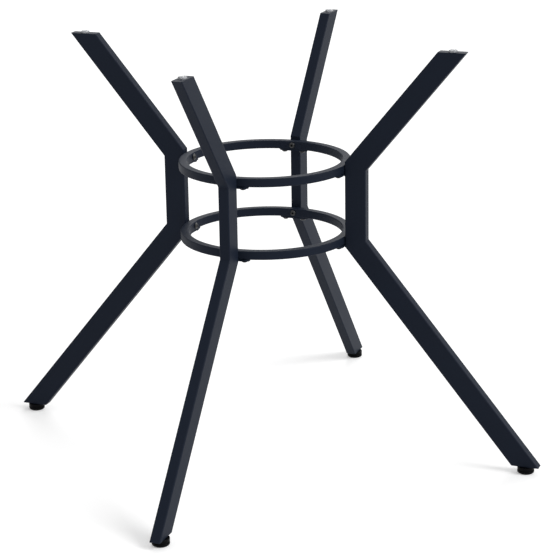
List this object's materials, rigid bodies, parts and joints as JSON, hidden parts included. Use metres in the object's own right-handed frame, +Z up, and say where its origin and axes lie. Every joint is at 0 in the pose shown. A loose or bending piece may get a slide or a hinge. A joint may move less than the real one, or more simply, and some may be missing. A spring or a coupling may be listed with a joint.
{
  "type": "dining table base",
  "caption": "Dining table base of cranked tube legs tied together by stacked rings, with levelling feet below and clear pads on top for a loose table top.",
  "frame": {"origin": "on the floor under the feet, on the common axis of the rings", "axes": "+Z up, +X along the leg called right, +Y along the leg called back"},
  "size_m": [1.0128, 1.0128, 0.7398],
  "materials": {
    "powder_coat": "satin black powder coat",
    "screw_black": "black oxide",
    "zinc_steel": "zinc plated",
    "foot_plastic": "moulded black",
    "clear_pad": "clear soft plastic"
  },
  "bodies": {
    "frame": {"back_arm_tube": "powder_coat", "back_clear_pad": "clear_pad", "back_foot_plate": "powder_coat", "back_lower_bracket": "powder_coat", "back_lower_tube": "powder_coat", "back_top_plate": "powder_coat", "back_upper_bracket": "powder_coat", "back_upright_tube": "powder_coat", "foot_nuts": "zinc_steel", "front_arm_tube": "powder_coat", "front_clear_pad": "clear_pad", "front_foot_plate": "powder_coat", "front_lower_bracket": "powder_coat", "front_lower_tube": "powder_coat", "front_top_plate": "powder_coat", "front_upper_bracket": "powder_coat", "front_upright_tube": "powder_coat", "left_arm_tube": "powder_coat", "left_clear_pad": "clear_pad", "left_foot_plate": "powder_coat", "left_lower_bracket": "powder_coat", "left_lower_tube": "powder_coat", "left_top_plate": "powder_coat", "left_upper_bracket": "powder_coat", "left_upright_tube": "powder_coat", "lower_bracket_screws": "screw_black", "lower_ring": "powder_coat", "lower_ring_screws": "screw_black", "lower_rivet_nuts": "zinc_steel", "right_arm_tube": "powder_coat", "right_clear_pad": "clear_pad", "right_foot_plate": "powder_coat", "right_lower_bracket": "powder_coat", "right_lower_tube": "powder_coat", "right_top_plate": "powder_coat", "right_upper_bracket": "powder_coat", "right_upright_tube": "powder_coat", "upper_bracket_screws": "screw_black", "upper_ring": "powder_coat", "upper_ring_screws": "screw_black", "upper_rivet_nuts": "zinc_steel"},
    "right_foot": {"right_levelling_foot": "foot_plastic", "right_levelling_stud": "zinc_steel"},
    "back_foot": {"back_levelling_foot": "foot_plastic", "back_levelling_stud": "zinc_steel"},
    "left_foot": {"left_levelling_foot": "foot_plastic", "left_levelling_stud": "zinc_steel"},
    "front_foot": {"front_levelling_foot": "foot_plastic", "front_levelling_stud": "zinc_steel"}
  },
  "joints": [
    {"name": "right_foot_levelling", "type": "slide", "parent": "frame", "child": "right_foot", "axis": [0, 0, -1], "range_m": [0, 0.01]},
    {"name": "back_foot_levelling", "type": "slide", "parent": "frame", "child": "back_foot", "axis": [0, 0, -1], "range_m": [0, 0.01]},
    {"name": "left_foot_levelling", "type": "slide", "parent": "frame", "child": "left_foot", "axis": [0, 0, -1], "range_m": [0, 0.01]},
    {"name": "front_foot_levelling", "type": "slide", "parent": "frame", "child": "front_foot", "axis": [0, 0, -1], "range_m": [0, 0.01]}
  ]
}
